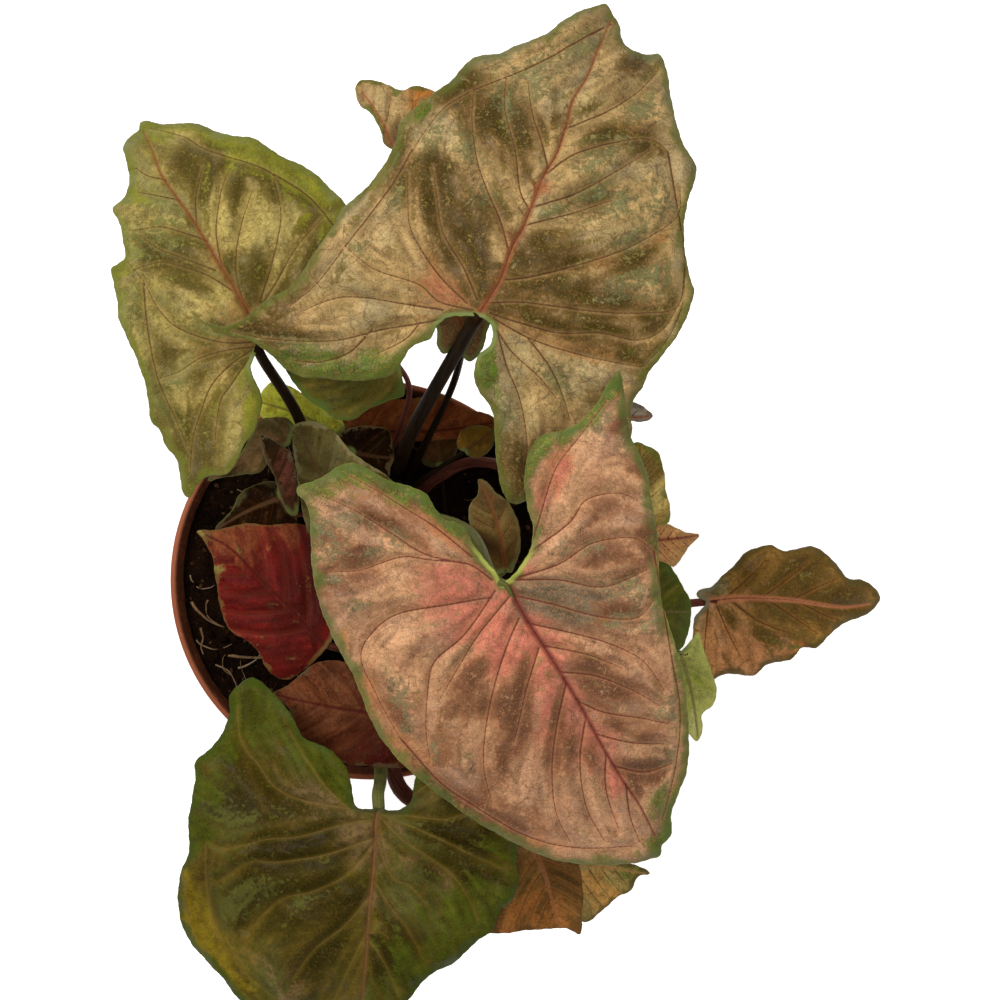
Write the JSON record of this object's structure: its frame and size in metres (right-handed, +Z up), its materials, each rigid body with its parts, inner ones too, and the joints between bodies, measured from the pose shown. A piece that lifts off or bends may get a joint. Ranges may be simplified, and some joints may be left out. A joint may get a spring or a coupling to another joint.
{
  "type": "potted arrowhead plant",
  "caption": "Arrowhead plant with broad tan, pink, khaki and dark olive arrow-shaped leaves on thin stalks, in a round terracotta-coloured nursery pot of soil.",
  "frame": {"origin": "middle of the pot's flat base, on the floor", "axes": "+Z up; looking straight down, +X runs to the right of the picture and +Y to its top"},
  "size_m": [0.2134, 0.2853, 0.2271],
  "materials": {
    "pot": "satin",
    "soil": "matte",
    "crown": "matte",
    "stalk_dark": "satin",
    "stalk_green": "satin",
    "stalk_maroon": "satin",
    "leaf_tan": "satin",
    "leaf_khaki": "satin",
    "leaf_pink": "satin",
    "leaf_olive": "satin",
    "leaf_brown": "satin",
    "leaf_beige": "satin",
    "leaf_green": "satin",
    "leaf_yellow": "satin",
    "leaf_red": "satin",
    "leaf_dark": "satin",
    "leaf_dry": "matte"
  },
  "bodies": {
    "root": {"pot": "pot", "soil": "soil", "crown_back": "crown", "crown_left": "crown", "crown_front": "crown", "crown_right": "crown", "blade_tan": "leaf_tan", "stalk_tan": "stalk_dark", "blade_khaki": "leaf_khaki", "stalk_khaki": "stalk_dark", "blade_pink": "leaf_pink", "stalk_pink": "stalk_green", "blade_olive": "leaf_olive", "stalk_olive": "stalk_green", "blade_brown": "leaf_brown", "stalk_brown": "stalk_maroon", "blade_beige": "leaf_beige", "stalk_beige": "stalk_dark", "blade_green_back": "leaf_green", "stalk_green_back": "stalk_maroon", "blade_yellow_back": "leaf_yellow", "stalk_yellow_back": "stalk_green", "blade_red_back": "leaf_red", "stalk_red_back": "stalk_maroon", "blade_dark_centre": "leaf_dark", "stalk_dark_centre": "stalk_dark", "blade_olive_curl": "leaf_olive", "stalk_olive_curl": "stalk_green", "blade_folded": "leaf_brown", "stalk_folded": "stalk_maroon", "blade_grey_pink": "leaf_beige", "stalk_grey_pink": "stalk_dark", "blade_dark_left": "leaf_dark", "stalk_dark_left": "stalk_dark", "blade_red_left": "leaf_red", "stalk_red_left": "stalk_maroon", "blade_maroon": "leaf_red", "stalk_maroon": "stalk_maroon", "blade_red_front": "leaf_red", "stalk_red_front": "stalk_maroon", "blade_orange_front": "leaf_yellow", "stalk_orange_front": "stalk_green", "blade_green_right": "leaf_green", "stalk_green_right": "stalk_green", "blade_lime_right": "leaf_yellow", "stalk_lime_right": "stalk_green", "blade_pink_right": "leaf_pink", "stalk_pink_right": "stalk_maroon", "blade_yellow_right": "leaf_yellow", "stalk_yellow_right": "stalk_maroon", "blade_dry_tip": "leaf_dry", "stalk_dry_tip": "stalk_dark", "blade_khaki_centre": "leaf_khaki", "stalk_khaki_centre": "stalk_green", "blade_brown_centre": "leaf_dark", "stalk_brown_centre": "stalk_dark", "blade_olive_centre": "leaf_khaki", "stalk_olive_centre": "stalk_dark"}
  },
  "joints": []
}
